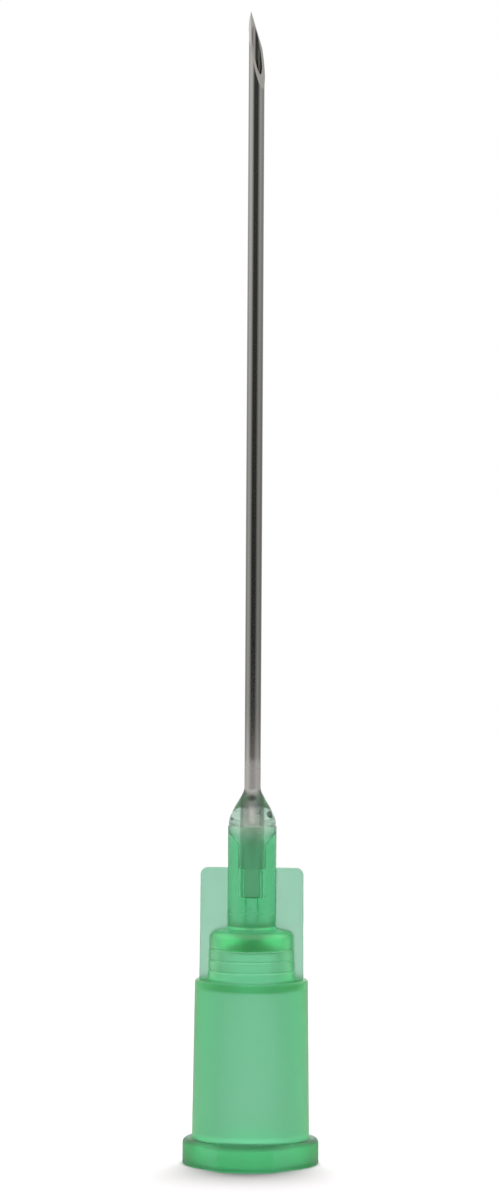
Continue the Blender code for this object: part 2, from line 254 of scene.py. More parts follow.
# What polished steel meets level with it: the bearing from the front, and its brightness
SURROUNDINGS = (
    (-180, 1.0),
    (-160, 0.62),
    (-135, 0.32),
    (-116, 0.30),
    (-84, 0.47),
    (-57, 0.39),
    (-42, 0.21),
    (-25, 0.03),
    (25, 0.03),
    (45, 0.19),
    (65, 0.30),
    (98, 0.22),
    (123, 0.20),
    (150, 0.45),
    (180, 1.0),
)
MET_GAIN = 1.6
LEVEL_GAIN = 1.18
CLIMB = 9.0  # how fast the level's gain grows with the sine of the elevation
CLIMB_RANGE = (0.95, 1.6)
OVERHEAD = (0.24, 0.50)  # sines of the elevations over which the grey overhead comes in
OVERHEAD_GREY = 0.9
MET_INSIDE = 0.5  # how much of all this is met inside the plastic

# What lights the floor: a little from all round, a soft box overhead, and light through the plastic
FLOOR_FILL = 0.08
SOFT_BOX = 0.44
SOFT_BOX_EDGE = (0.70, 0.92)  # sines of the elevations
THROUGH_PLASTIC = 0.3

# Where the camera looks, a little left of the needle's axis
AIM = Vector((-0.23 * MM, 0.0, 27.865 * MM))


class Socket:
    """A node's output. Arithmetic and comparison with it add Math nodes behind it."""

    def __init__(self, shader, output):
        self.shader = shader
        self.output = output

    def __add__(self, other):
        return self.shader.math("ADD", self, other)

    def __radd__(self, other):
        return self.shader.math("ADD", other, self)

    def __sub__(self, other):
        return self.shader.math("SUBTRACT", self, other)

    def __rsub__(self, other):
        return self.shader.math("SUBTRACT", other, self)

    def __mul__(self, other):
        return self.shader.math("MULTIPLY", self, other)

    def __rmul__(self, other):
        return self.shader.math("MULTIPLY", other, self)

    def __neg__(self):
        return self.shader.math("SUBTRACT", 0.0, self)

    def __abs__(self):
        return self.shader.math("ABSOLUTE", self)

    def __lt__(self, other):
        return self.shader.math("LESS_THAN", self, other)

    def __gt__(self, other):
        return self.shader.math("GREATER_THAN", self, other)

    def smooth(self, low, high):
        """0 below low, 1 above high and a soft step between."""
        settings = {"interpolation_type": "SMOOTHSTEP"}
        inputs = {"Value": self, "From Min": low, "From Max": high}
        return self.shader.node("ShaderNodeMapRange", settings, inputs)["Result"]


class Shader:
    """The node tree of one material or world, emptied first."""

    def __init__(self, owner):
        owner.use_nodes = True
        self.tree = owner.node_tree
        self.tree.nodes.clear()

    def node(self, kind, settings=None, inputs=None):
        """Adds a node, sets it, then gives its sockets values or links. Returns its outputs."""
        made = self.tree.nodes.new(kind)
        for name, value in (settings or {}).items():
            if name == "stops":
                self.set_stops(made.color_ramp.elements, value)
            else:
                setattr(made, name, value)
        sockets = {socket.identifier: socket for socket in made.inputs}
        for name, value in (inputs or {}).items():
            if isinstance(value, Socket):
                self.tree.links.new(value.output, sockets[name])
            else:
                sockets[name].default_value = value
        return {socket.identifier: Socket(self, socket) for socket in made.outputs}

    @staticmethod
    def set_stops(elements, stops):
        """Gives a ramp its stops, each a place from 0 to 1 and a colour."""
        while len(elements) < len(stops):
            elements.new(1.0)
        for element, (place, colour) in zip(elements, stops):
            element.position = place
            element.color = rgba(colour)

    def math(self, operation, *values):
        """A Math node on sockets and numbers."""
        inputs = dict(zip(("Value", "Value_001"), values))
        return self.node("ShaderNodeMath", {"operation": operation}, inputs)["Value"]

    def point(self):
        """The point in the object's own space, in metres."""
        return self.node("ShaderNodeTexCoord")["Object"]

    def axes(self, vector):
        """A vector's X, Y and Z."""
        split = self.node("ShaderNodeSeparateXYZ", inputs={"Vector": vector})
        return split["X"], split["Y"], split["Z"]

    def mix(self, factor, first, second):
        """One colour turned into another."""
        settings = {"data_type": "RGBA", "clamp_factor": True}
        inputs = {"Factor_Float": factor, "A_Color": first, "B_Color": second}
        return self.node("ShaderNodeMix", settings, inputs)["Result_Color"]

    def noise(self, point, per_metre, spread=(1.0, 1.0, 1.0), detail=2.0):
        """Noise with so many features to the metre, times each axis's number in spread."""
        scaled = self.node("ShaderNodeMapping", inputs={"Vector": point, "Scale": spread})["Vector"]
        inputs = {"Vector": scaled, "Scale": per_metre, "Detail": detail}
        return self.node("ShaderNodeTexNoise", inputs=inputs)["Fac"]

    def bump(self, height, strength, distance):
        """The normal that a height gives the surface."""
        inputs = {"Height": height, "Strength": strength, "Distance": distance}
        return self.node("ShaderNodeBump", inputs=inputs)["Normal"]


def rgba(colour):
    """A colour with its alpha."""
    return (*colour, 1.0)


def moulded_polypropylene(look):
    """Translucent green plastic, clear in the nose and frosted elsewhere, with glossy rings, and with
    painted light on the flange, the skirt's foot and the band under the skirt's top.
    """
    material = bpy.data.materials.new("green_polypropylene")
    shader = Shader(material)
    point = shader.point()
    x, y, z = shader.axes(point)
    reach = shader.math("SQRT", x * x + y * y)
    beside_neck = z.smooth(*WING_FOOT_AT_NECK) * reach.smooth(*WING_ROOT_AT_NECK)
    beside_nose = z.smooth(*WING_FOOT_AT_NOSE) * reach.smooth(*WING_ROOT_AT_NOSE)
    wing = shader.math("MAXIMUM", beside_nose, beside_neck) * (1.0 - abs(y).smooth(*WING_FACE))
    neck = z.smooth(*NECK_COAT_START) * (1.0 - z.smooth(*NECK_COAT_END))
    flange = 1.0 - z.smooth(*FLANGE_FADE)
    bore = z.smooth(*BORE_FOOT) * (1.0 - reach.smooth(*BORE_WALL))
    frost = shader.math("MAXIMUM", 1.0 - z.smooth(*FROST_FADE), wing)
    cloud = shader.noise(point, per_metre=900.0, spread=(1.0, 1.0, 0.4))
    grain = shader.noise(point, per_metre=16000.0, detail=3.0)
    roughness = CLEAR_ROUGHNESS + FROST_ROUGHNESS * frost + FLANGE_ROUGHNESS * flange
    roughness = roughness + CLOUD_ROUGHNESS * (cloud - 0.5) + GRAIN_ROUGHNESS * (grain - 0.5)
    bands = (
        # Painted light: the flange's near-white tint lightens the shaded flange
        (FLANGE_BAND, look.flange),
        # Painted light: the untinted fillet lightens the dark line at the skirt's foot
        (FILLET_PAINTED_LIGHT_BAND, WHITE),
        (SKIRT_BAND, look.skirt),
        # Painted light: the lifted tint lightens the dark band under the skirt's top
        (SHOULDER_PAINTED_LIGHT_BAND, [SHOULDER_PAINTED_LIGHT_LIFT * part for part in look.skirt]),
        (NECK_BAND, look.neck),
        (NOSE_BAND, look.nose),
        (RIM_BAND, look.rim),
    )
    stops = [(height / RIM_Z, colour) for band, colour in bands for height in band]
    tint = shader.node("ShaderNodeValToRGB", {"stops": stops}, {"Fac": z * (1.0 / RIM_Z)})["Color"]
    tint = shader.mix(wing, tint, rgba(look.wing))
    tint = shader.mix(bore, tint, rgba(WHITE))
    surface = shader.node(
        "ShaderNodeBsdfPrincipled",
        inputs={
            "Base Color": tint,
            "Roughness": roughness,
            "IOR": 1.49,
            "Transmission Weight": 1.0,
            "Coat Weight": NECK_COAT * neck,
            "Coat Roughness": 0.15,
            "Normal": shader.bump(grain, strength=0.08, distance=0.01 * MM),
        },
    )
    depth = shader.node(
        "ShaderNodeVolumeAbsorption",
        inputs={"Color": rgba(look.depth_colour), "Density": look.depth_density},
    )
    shader.node(
        "ShaderNodeOutputMaterial",
        inputs={"Surface": surface["BSDF"], "Volume": depth["Volume"]},
    )
    return material


def drawn_steel(look):
    """Polished steel with fine lines along it, blasted matt and paler towards the hub, painted much
    lighter where it is bonded, and with a painted dark reflection on its front inside the cone.
    """
    material = bpy.data.materials.new("drawn_steel")
    shader = Shader(material)
    point = shader.point()
    x, y, z = shader.axes(point)
    lines = shader.noise(point, per_metre=60000.0, spread=(1.0, 1.0, 0.01), detail=3.0)
    stains = shader.noise(point, per_metre=500.0, spread=(1.0, 1.0, 0.5))
    grit = shader.noise(point, per_metre=40000.0)
    painted_light_in_bond = 1.0 - z.smooth(*BOND_END)
    blasted = 1.0 - z.smooth(*BLAST_END)
    pale = 1.0 - z.smooth(*PALE_END)
    satin = 1.0 - z.smooth(*SATIN_END)
    roughness = POLISH_ROUGHNESS + LINE_ROUGHNESS * (lines - 0.5) + LINE_ROUGHNESS * (stains - 0.5)
    roughness = roughness + SATIN_ROUGHNESS * satin + BLAST_ROUGHNESS * blasted
    # Painted dark reflection: a dark spot on the front of the steel, inside the cone
    across = x * (1.0 / PAINTED_REFLECTION_HALF_WIDTH)
    along = (z - PAINTED_REFLECTION_Z) * (1.0 / PAINTED_REFLECTION_HALF_HEIGHT)
    painted_reflection = 1.0 - (across * across + along * along).smooth(0.0, 1.0)
    painted_reflection = painted_reflection * (-y).smooth(*PAINTED_REFLECTION_DEPTH)
    tint = shader.mix(pale, rgba(look.colour), rgba([PALE_LIFT * part for part in look.colour]))
    tint = shader.mix(blasted, tint, rgba([BLAST_LIFT * part for part in look.colour]))
    # Painted light: the bonded steel is made much lighter
    tint = shader.mix(painted_light_in_bond, tint, rgba(PAINTED_LIGHT_BONDED_STEEL))
    tint = shader.mix(painted_reflection, tint, rgba(PAINTED_REFLECTION_COLOUR))
    surface = shader.node(
        "ShaderNodeBsdfPrincipled",
        inputs={
            "Base Color": tint,
            "Metallic": 1.0,
            "Roughness": roughness,
            "Normal": shader.bump(0.5 * lines + grit * blasted, strength=0.12, distance=0.004 * MM),
        },
    )
    shader.node("ShaderNodeOutputMaterial", inputs={"Surface": surface["BSDF"]})
    return material


def ground_steel(look):
    """The ground facets of the point, with fine lines across them."""
    material = bpy.data.materials.new("ground_steel")
    shader = Shader(material)
    lines = shader.noise(shader.point(), per_metre=50000.0, spread=(0.05, 0.05, 1.0), detail=3.0)
    surface = shader.node(
        "ShaderNodeBsdfPrincipled",
        inputs={
            "Base Color": rgba(look.colour),
            "Metallic": 1.0,
            "Roughness": FACET_ROUGHNESS + FACET_LINE_ROUGHNESS * (lines - 0.5),
            "Normal": shader.bump(lines, strength=0.15, distance=0.004 * MM),
        },
    )
    shader.node("ShaderNodeOutputMaterial", inputs={"Surface": surface["BSDF"]})
    return material


def clear_epoxy(look):
    """Cured adhesive, clear, with a painted green reflection of the hub on its dome."""
    material = bpy.data.materials.new("clear_epoxy")
    shader = Shader(material)
    point = shader.point()
    x, y, z = shader.axes(point)
    ripple = shader.noise(point, per_metre=1500.0, detail=1.0)
    # Painted green reflection of the hub on the dome, fainter before the steel
    before_steel = (1.0 - abs(x).smooth(*BESIDE_STEEL)) * (-y).smooth(*BEFORE_AXIS)
    painted_green_reflection = z.smooth(*DOME_START) * (1.0 - CLEARER_BEFORE_STEEL * before_steel)
    surface = shader.node(
        "ShaderNodeBsdfPrincipled",
        inputs={
            "Base Color": shader.mix(painted_green_reflection, rgba(WHITE), rgba(look.colour)),
            "Roughness": ADHESIVE_ROUGHNESS + RIPPLE_ROUGHNESS * ripple,
            "IOR": 1.5,
            "Transmission Weight": 1.0,
            "Normal": shader.bump(ripple, strength=0.2, distance=0.02 * MM),
        },
    )
    shader.node("ShaderNodeOutputMaterial", inputs={"Surface": surface["BSDF"]})
    return material


def arc(centre, radius, start_deg, end_deg, steps=ROUND_STEPS):
    """Points of an arc in a profile, both ends included."""
    points = []
    for step in range(steps + 1):
        angle = math.radians(start_deg + (end_deg - start_deg) * step / steps)
        across = centre[0] + radius * math.cos(angle)
        along = centre[1] + radius * math.sin(angle)
        points.append((across, along))
    return points


def object_from(bm, name, material):
    """Turns a bmesh into an object in the scene."""
    bmesh.ops.recalc_face_normals(bm, faces=bm.faces)
    mesh = bpy.data.meshes.new(name)
    bm.to_mesh(mesh)
    bm.free()
    mesh.materials.append(material)
    made = bpy.data.objects.new(name, mesh)
    bpy.context.scene.collection.objects.link(made)
    return made


def shade(piece, sharp_angle):
    """Smooth shading, with sharp edges where the surface turns by more than the angle."""
    piece.data.shade_smooth()
    piece.data.set_sharp_from_angle(angle=sharp_angle)
    modifier = piece.modifiers.new("flat faces", "WEIGHTED_NORMAL")
    modifier.keep_sharp = True
    graph = bpy.context.evaluated_depsgraph_get()
    piece.data = bpy.data.meshes.new_from_object(piece.evaluated_get(graph))
    piece.modifiers.remove(modifier)


def turned(profile, closed=False, start_angle=0.0):
    """A bmesh with the profile's (r, z) points spun round the Z axis."""
    bm = bmesh.new()
    verts = [bm.verts.new((r, 0.0, z)) for r, z in profile]
    edges = [bm.edges.new(pair) for pair in zip(verts, verts[1:])]
    if closed:
        edges.append(bm.edges.new((verts[-1], verts[0])))
    turn = Matrix.Rotation(start_angle, 3, "Z")
    bmesh.ops.rotate(bm, verts=verts, cent=(0, 0, 0), matrix=turn)
    bmesh.ops.spin(
        bm,
        geom=verts + edges,
        cent=(0, 0, 0),
        axis=(0, 0, 1),
        angle=math.tau,
        steps=TURNS,
        use_merge=True,
    )
    bmesh.ops.remove_doubles(bm, verts=bm.verts, dist=MERGE_DISTANCE)
    return bm


def boolean(target, tool, operation):
    """Joins the tool to the target or cuts it away, and drops the tool."""
    modifier = target.modifiers.new(tool.name, "BOOLEAN")
    modifier.operation = operation
    modifier.solver = "EXACT"
    modifier.object = tool
    graph = bpy.context.evaluated_depsgraph_get()
    target.data = bpy.data.meshes.new_from_object(target.evaluated_get(graph))
    target.modifiers.remove(modifier)
    bpy.data.objects.remove(tool)


def neck_radius(height):
    """The neck's outer radius at a height above its foot."""
    return NECK_R - NECK_DRAFT * height


def ring_grooves():
    """Profile points of the shallow round-bottomed grooves that part the neck's rings."""
    points = []
    for ring in range(RING_COUNT):
        middle = RING_FIRST + ring * RING_PITCH
        for step in range(ROUND_STEPS + 1):
            share = step / ROUND_STEPS
            height = middle + (share - 0.5) * RING_GROOVE_HEIGHT
            sink = RING_GROOVE_DEPTH * math.sin(math.pi * share)
            points.append((neck_radius(height) - sink, SKIRT_TOP_Z + height))
    return points


def hub_outside():
    """The hub's turned outside, from inside the flange up to the nose's rim."""
    neck_top_r = neck_radius(NECK_HEIGHT - NECK_TOP_ROUND)
    crown_z = NECK_TOP_Z - NECK_CROWN_RISE
    foot = (SKIRT_FOOT_R + SKIRT_FOOT_FILLET, FLANGE_HEIGHT + SKIRT_FOOT_FILLET)
    shoulder = (SKIRT_TOP_R - SKIRT_TOP_ROUND, SKIRT_TOP_Z - SKIRT_TOP_ROUND)
    neck_foot = (NECK_R + NECK_FOOT_FILLET, SKIRT_TOP_Z + NECK_FOOT_FILLET)
    neck_top = (neck_top_r - NECK_TOP_ROUND, crown_z - NECK_TOP_ROUND)
    nose_foot = (NOSE_R + NOSE_FOOT_FILLET, NECK_TOP_Z + NOSE_FOOT_FILLET)
    rim = (NOSE_R - NOSE_RIM_ROUND, RIM_Z - NOSE_RIM_ROUND)
    profile = [(0.0, FLANGE_HEIGHT / 2), (foot[0], FLANGE_HEIGHT / 2)]
    profile += arc(foot, SKIRT_FOOT_FILLET, 270, 180)
    profile += arc(shoulder, SKIRT_TOP_ROUND, 0, 90)
    profile += arc(neck_foot, NECK_FOOT_FILLET, 270, 180)
    profile += ring_grooves()
    profile += arc(neck_top, NECK_TOP_ROUND, 0, 90, steps=2 * ROUND_STEPS)
    profile += arc(nose_foot, NOSE_FOOT_FILLET, 270, 180)
    profile += arc(rim, NOSE_RIM_ROUND, 0, 90)
    profile.append((0.0, RIM_Z))
    return turned(profile)


def hub_inside(mouth_r):
    """The cutter for the hub's way through: socket, chamber, flow bore and funnel."""
    chamber_top_z = NECK_TOP_Z - NECK_ROOF - CHAMBER_CONE_HEIGHT
    chamber_r = NECK_R - NECK_WALL
    funnel_slope = (FUNNEL_R - SEAT_R) / FUNNEL_DEPTH
    return turned([
        (0.0, -OVERSHOOT),
        (mouth_r + SOCKET_LEAD_IN + OVERSHOOT, -OVERSHOOT),
        (mouth_r, SOCKET_LEAD_IN),
        (mouth_r - SOCKET_TAPER * SOCKET_DEPTH, SOCKET_DEPTH),
        (chamber_r, SOCKET_DEPTH + SOCKET_FLOOR_DROP),
        (chamber_r, chamber_top_z),
        (FLOW_R, chamber_top_z + CHAMBER_CONE_HEIGHT),
        (FLOW_R, SEAT_Z),
        (SEAT_R, SEAT_Z),
        (SEAT_R, RIM_Z - FUNNEL_DEPTH),
        (FUNNEL_R + funnel_slope * OVERSHOOT, RIM_Z + OVERSHOOT),
        (0.0, RIM_Z + OVERSHOOT),
    ])


def rounded(bm, edges, radius, segments=ROUND_STEPS):
    """Rounds the edges to the radius."""
    bmesh.ops.bevel(
        bm,
        geom=edges,
        offset=radius,
        offset_type="OFFSET",
        affect="EDGES",
        segments=segments,
        profile=0.5,
        material=-1,
    )


def level_edges(bm, height):
    """The edges that lie at a height."""
    return [e for e in bm.edges if all(abs(v.co.z - height) < MERGE_DISTANCE for v in e.verts)]


def add_disc(bm, x, y, radius):
    """A disc of the flange's height."""
    return bmesh.ops.create_cone(
        bm,
        cap_ends=True,
        segments=2 * TURNS,
        radius1=radius,
        radius2=radius,
        depth=FLANGE_HEIGHT,
        matrix=Matrix.Translation((x, y, FLANGE_HEIGHT / 2)),
    )["verts"]


def flange_plate():
    """A disc, the arcs of two lug tips and their four round corners, drawn into one plate."""
    bm = bmesh.new()
    tips = add_disc(bm, 0.0, 0.0, LUG_R)
    beside = [v for v in tips if math.atan2(abs(v.co.x), abs(v.co.y)) > LUG_HALF_SWEEP]
    bmesh.ops.delete(bm, geom=beside, context="VERTS")
    add_disc(bm, 0.0, 0.0, FLANGE_R)
    corner_r = LUG_R - LUG_CORNER
    for side in (-1, 1):
        for end in (-1, 1):
            x = side * corner_r * math.sin(LUG_HALF_SWEEP)
            y = end * corner_r * math.cos(LUG_HALF_SWEEP)
            add_disc(bm, x, y, LUG_CORNER)
    skin = bmesh.ops.convex_hull(bm, input=bm.verts)
    covered = [item for item in skin["geom_interior"] if isinstance(item, bmesh.types.BMVert)]
    bmesh.ops.delete(bm, geom=covered, context="VERTS")
    bmesh.ops.dissolve_limit(bm, angle_limit=FLAT, verts=bm.verts, edges=bm.edges)
    rounded(bm, level_edges(bm, FLANGE_HEIGHT), FLANGE_TOP_ROUND)
    rounded(bm, level_edges(bm, 0.0), FLANGE_FOOT_ROUND)
    return bm


def wing_plate():
    """Both wings as one plate, standing on the skirt, with round upper corners."""
    foot_z = SKIRT_TOP_Z - EMBED
    height = WING_TOP_Z - foot_z
    bm = bmesh.new()
    bmesh.ops.create_cube(bm, size=1.0)
    bmesh.ops.scale(bm, verts=bm.verts, vec=(2 * WING_REACH, WING_THICKNESS, height))
    bmesh.ops.translate(bm, verts=bm.verts, vec=(0.0, 0.0, foot_z + height / 2))
    top = [vert for vert in bm.verts if vert.co.z > SKIRT_TOP_Z]
    narrower = 1.0 - WING_DRAFT * WING_HEIGHT / WING_REACH
    bmesh.ops.scale(bm, verts=top, vec=(narrower, 1.0, 1.0))
    corners = [
        edge
        for edge in bm.edges
        if all(vert in top for vert in edge.verts)
        and abs(edge.verts[0].co.x - edge.verts[1].co.x) < MERGE_DISTANCE
    ]
    rounded(bm, corners, WING_CORNER, segments=3 * ROUND_STEPS)
    around = [
        edge
        for edge in bm.edges
        if abs(edge.verts[0].co.y - edge.verts[1].co.y) < MERGE_DISTANCE
        and max(vert.co.z for vert in edge.verts) > foot_z + MERGE_DISTANCE
    ]
    rounded(bm, around, WING_EDGE_ROUND, segments=ROUND_STEPS // 2)
    return bm


def ground(cannula, name, tip, turn, angle, material):
    """Grinds one flat facet through the tip, at the angle to the axis."""
    side = 4 * CANNULA_R / math.tan(BEVEL_ANGLE)
    facing = Vector((math.cos(turn), math.sin(turn), 0.0))
    normal = facing * math.cos(angle) + Vector((0.0, 0.0, math.sin(angle)))
    bm = bmesh.new()
    bmesh.ops.create_cube(bm, size=2 * side)
    turned_to = normal.to_track_quat("Z", "Y").to_matrix()
    bmesh.ops.rotate(bm, verts=bm.verts, cent=(0, 0, 0), matrix=turned_to)
    bmesh.ops.translate(bm, verts=bm.verts, vec=tip + normal * side)
    boolean(cannula, object_from(bm, name, material), "DIFFERENCE")


def mark_ground_faces(cannula, material):
    """Gives the sloping facets at the point their own finish."""
    if material.name not in cannula.data.materials:
        cannula.data.materials.append(material)
    index = cannula.data.materials.find(material.name)
    heel_z = TIP_Z - 2 * CANNULA_R / math.tan(BEVEL_ANGLE)
    flattest, steepest = FACET_SLOPE
    for face in cannula.data.polygons:
        sloping = flattest < face.normal.z < steepest and face.center.z > heel_z
        face.material_index = index if sloping else 0


def dome_profile(inner_r):
    """Profile points of the adhesive above the rim, a dome that ends in a meniscus."""
    foot = Vector((NOSE_R - NOSE_RIM_ROUND, RIM_Z, 0.0))
    top = Vector((inner_r + ADHESIVE_TOP_EDGE, CONE_TOP_Z, 0.0))
    lower = foot + Vector((DOME_SWELL, DOME_FULLNESS * ADHESIVE_CONE_HEIGHT, 0.0))
    upper = top - Vector((0.0, MENISCUS_SWEEP * ADHESIVE_CONE_HEIGHT, 0.0))
    curve = interpolate_bezier(foot, lower, upper, top, CONE_STEPS + 1)
    return [(point.x, point.y) for point in curve]


def add_bubbles(adhesive):
    """Round voids in the adhesive, whose faces look into the bubble."""
    bm = bmesh.new()
    bm.from_mesh(adhesive.data)
    for reach, bearing, height, radius in BUBBLES:
        angle = math.radians(bearing)
        middle = Vector((reach * math.cos(angle), reach * math.sin(angle), RIM_Z + height))
        made = bmesh.ops.create_icosphere(
            bm,
            subdivisions=BUBBLE_SUBDIVISIONS,
            radius=radius,
            matrix=Matrix.Translation(middle),
        )
        faces = {face for vert in made["verts"] for face in vert.link_faces}
        bmesh.ops.reverse_faces(bm, faces=list(faces))
    bm.to_mesh(adhesive.data)
    bm.free()


class NeedleHubLook(PropertyGroup):
    """Sizes and colours of the hub."""

    mouth_r: FloatProperty(
        name="Socket radius",
        description="Radius of the tapered socket at its mouth",
        default=SOCKET_MOUTH_R,
        unit="LENGTH",
    )
    # Painted light: this near-white tint lightens the flange, which lies in shade over the floor, in
    # place of light the plastic scatters
    flange: FloatVectorProperty(
        name="Flange tint",
        description="What the flange's surfaces keep of the light that passes them",
        default=(0.95, 0.95, 0.95),
        size=3,
        subtype="COLOR",
    )
    skirt: FloatVectorProperty(
        name="Skirt tint",
        description="What the skirt's surfaces keep of the light that passes them",
        default=(0.660, 0.690, 0.675),
        size=3,
        subtype="COLOR",
    )
    neck: FloatVectorProperty(
        name="Neck tint",
        description="What the neck's surfaces keep of the light that passes them",
        default=(0.605, 0.750, 0.690),
        size=3,
        subtype="COLOR",
    )
    nose: FloatVectorProperty(
        name="Nose tint",
        description="What the nose's surfaces keep of the light that passes them",
        default=(0.290, 0.405, 0.345),
        size=3,
        subtype="COLOR",
    )
    rim: FloatVectorProperty(
        name="Rim tint",
        description="What the surfaces by the nose's rim keep of the light that passes them",
        default=(0.455, 0.510, 0.460),
        size=3,
        subtype="COLOR",
    )
    wing: FloatVectorProperty(
        name="Wing tint",
        description="What the wings' surfaces keep of the light that passes them",
        default=(0.318, 0.468, 0.395),
        size=3,
        subtype="COLOR",
    )
    depth_colour: FloatVectorProperty(
        name="Depth colour",
        description="Colour that the plastic takes with depth",
        default=(0.04, 0.92, 0.49),
        size=3,
        subtype="COLOR",
    )
    depth_density: FloatProperty(
        name="Depth density",
        description="How strongly a metre of the plastic absorbs",
        default=720.0,
    )


class NeedleCannulaLook(PropertyGroup):
    """Sizes and colour of the cannula."""

    outer_r: FloatProperty(
        name="Outer radius",
        description="Half of the cannula's outer diameter",
        default=CANNULA_R,
        unit="LENGTH",
    )
    bore_r: FloatProperty(
        name="Bore radius",
        description="Half of the cannula's inner diameter",
        default=CANNULA_BORE_R,
        unit="LENGTH",
    )
    colour: FloatVectorProperty(
        name="Steel colour",
        description="Colour of the stainless steel",
        default=(0.40, 0.394, 0.37),
        size=3,
        subtype="COLOR",
    )


class NeedleAdhesiveLook(PropertyGroup):
    """Size of the adhesive, and the colour of the painted green reflection on its dome."""

    depth: FloatProperty(
        name="Depth",
        description="How far the adhesive reaches below the nose's rim",
        default=RIM_Z - ADHESIVE_LOW.z,
        unit="LENGTH",
    )
    # The painted green reflection of the hub on the dome; the adhesive itself is clear
    colour: FloatVectorProperty(
        name="Adhesive colour",
        description="Tint of the cured adhesive",
        default=(0.28, 0.42, 0.34),
        size=3,
        subtype="COLOR",
    )


class NeedleStudioLook(PropertyGroup):
    """The camera and the lamp."""

    distance: FloatProperty(
        name="Camera distance",
        description="From the camera to the middle of the needle",
        default=0.29,
        unit="LENGTH",
    )
    azimuth: FloatProperty(
        name="Camera azimuth",
        description="How far the camera stands to the right of the front",
        default=math.radians(3.5),
        subtype="ANGLE",
    )
    elevation: FloatProperty(
        name="Camera elevation",
        description="How far the camera looks down on the needle's middle",
        default=math.radians(2.55),
        subtype="ANGLE",
    )
    roll: FloatProperty(
        name="Camera roll",
        description="How far the camera is turned about the way it looks",
        default=math.radians(0.335),
        subtype="ANGLE",
    )
    lens: FloatProperty(
        name="Lens",
        description="Focal length in millimetres",
        default=176.5,
    )
    lamp_strength: FloatProperty(
        name="Lamp strength",
        description="Strength of the lamp that draws the needle's shadow",
        default=2.95,
    )
    lamp_width: FloatProperty(
        name="Lamp width",
        description="How wide the lamp looks from the floor, which softens the shadow",
        default=math.radians(27.0),
        subtype="ANGLE",
    )
    lamp_lean: FloatProperty(
        name="Lamp lean",
        description="How far the lamp hangs behind the point right over the needle",
        default=math.radians(20.5),
        subtype="ANGLE",
    )


class NEEDLE_OT_hub(Operator):
    """Models the hub and gives it its translucent green plastic"""

    bl_idname = "needle.hub"
    bl_label = "Hub"

    def execute(self, context):
        look = context.scene.needle_hub
        green = moulded_polypropylene(look)
        hub = object_from(hub_outside(), "hub_moulding", green)
        boolean(hub, object_from(flange_plate(), "hub_flange_plate", green), "UNION")
        boolean(hub, object_from(wing_plate(), "hub_wing_plate", green), "UNION")
        boolean(hub, object_from(hub_inside(look.mouth_r), "hub_way_through", green), "DIFFERENCE")
        shade(hub, MOULDED_SHARP)
        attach(hub, BODY)
        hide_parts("hub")
        return {"FINISHED"}


class NEEDLE_OT_cannula(Operator):
    """Models the cannula with its ground point and gives it its steel"""

    bl_idname = "needle.cannula"
    bl_label = "Cannula"

    def execute(self, context):
        look = context.scene.needle_cannula
        steel = drawn_steel(look)
        bright = ground_steel(look)
        top_z = TIP_Z + OVERSHOOT
        profile = [
            (look.bore_r, top_z),
            (look.bore_r, CANNULA_FOOT_Z + CANNULA_END_BREAK),
            (look.bore_r + CANNULA_END_BREAK, CANNULA_FOOT_Z),
            (look.outer_r - CANNULA_END_BREAK, CANNULA_FOOT_Z),
            (look.outer_r, CANNULA_FOOT_Z + CANNULA_END_BREAK),
            (look.outer_r, top_z),
        ]
        tube = turned(profile, closed=True, start_angle=BEVEL_FACING)
        cannula = object_from(tube, "cannula_tube", steel)
        facing = Vector((math.cos(BEVEL_FACING), math.sin(BEVEL_FACING), 0.0))
        tip = Vector((0.0, 0.0, TIP_Z)) - facing * look.outer_r
        ground(cannula, "grind_main", tip, BEVEL_FACING, BEVEL_ANGLE, bright)
        for side in (-1, 1):
            turn = BEVEL_FACING + side * LANCET_TURN
            ground(cannula, "grind_lancet", tip, turn, LANCET_ANGLE, bright)
        mark_ground_faces(cannula, bright)
        shade(cannula, GROUND_SHARP)
        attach(cannula, BODY)
        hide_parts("cannula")
        return {"FINISHED"}


class NEEDLE_OT_adhesive(Operator):
    """Models the clear adhesive that bonds the cannula, with its trapped bubbles"""

    bl_idname = "needle.adhesive"
    bl_label = "Adhesive"

    def execute(self, context):
        look = context.scene.needle_adhesive
        inner_r = context.scene.needle_cannula.outer_r - WETTING
        foot_z = RIM_Z - look.depth
        profile = [
            (inner_r, foot_z),
            (SEAT_R + WETTING, foot_z),
            (SEAT_R + WETTING, RIM_Z - FUNNEL_DEPTH),
            (FUNNEL_R + WETTING, RIM_Z - WETTING),
        ]
        profile += dome_profile(inner_r)
        profile.append((inner_r, CONE_TOP_Z))
        adhesive = object_from(turned(profile, closed=True), "adhesive_plug", clear_epoxy(look))
        add_bubbles(adhesive)
        shade(adhesive, MOULDED_SHARP)
        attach(adhesive, BODY)
        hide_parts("adhesive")
        return {"FINISHED"}


class NEEDLE_OT_studio(Operator):
    """Sets up the white floor, the soft surroundings, the lamp and the camera"""

    bl_idname = "needle.studio"
    bl_label = "Studio"

    def execute(self, context):
        look = context.scene.needle_studio
        make_floor()
        light_world(context.scene)
        hang_lamp(context.scene, look)
        place_camera(context.scene, look)
        context.scene.view_settings.view_transform = "Standard"
        return {"FINISHED"}


def make_floor():
    """A round white floor that keeps the needle's shadow."""
    material = bpy.data.materials.new("white_floor")
    shader = Shader(material)
    surface = shader.node("ShaderNodeBsdfDiffuse", inputs={"Color": rgba(FLOOR_COLOUR)})
    shader.node("ShaderNodeOutputMaterial", inputs={"Surface": surface["BSDF"]})
    bm = bmesh.new()
    bmesh.ops.create_circle(bm, cap_ends=True, segments=TURNS, radius=FLOOR_R)
    floor = object_from(bm, "floor", material)


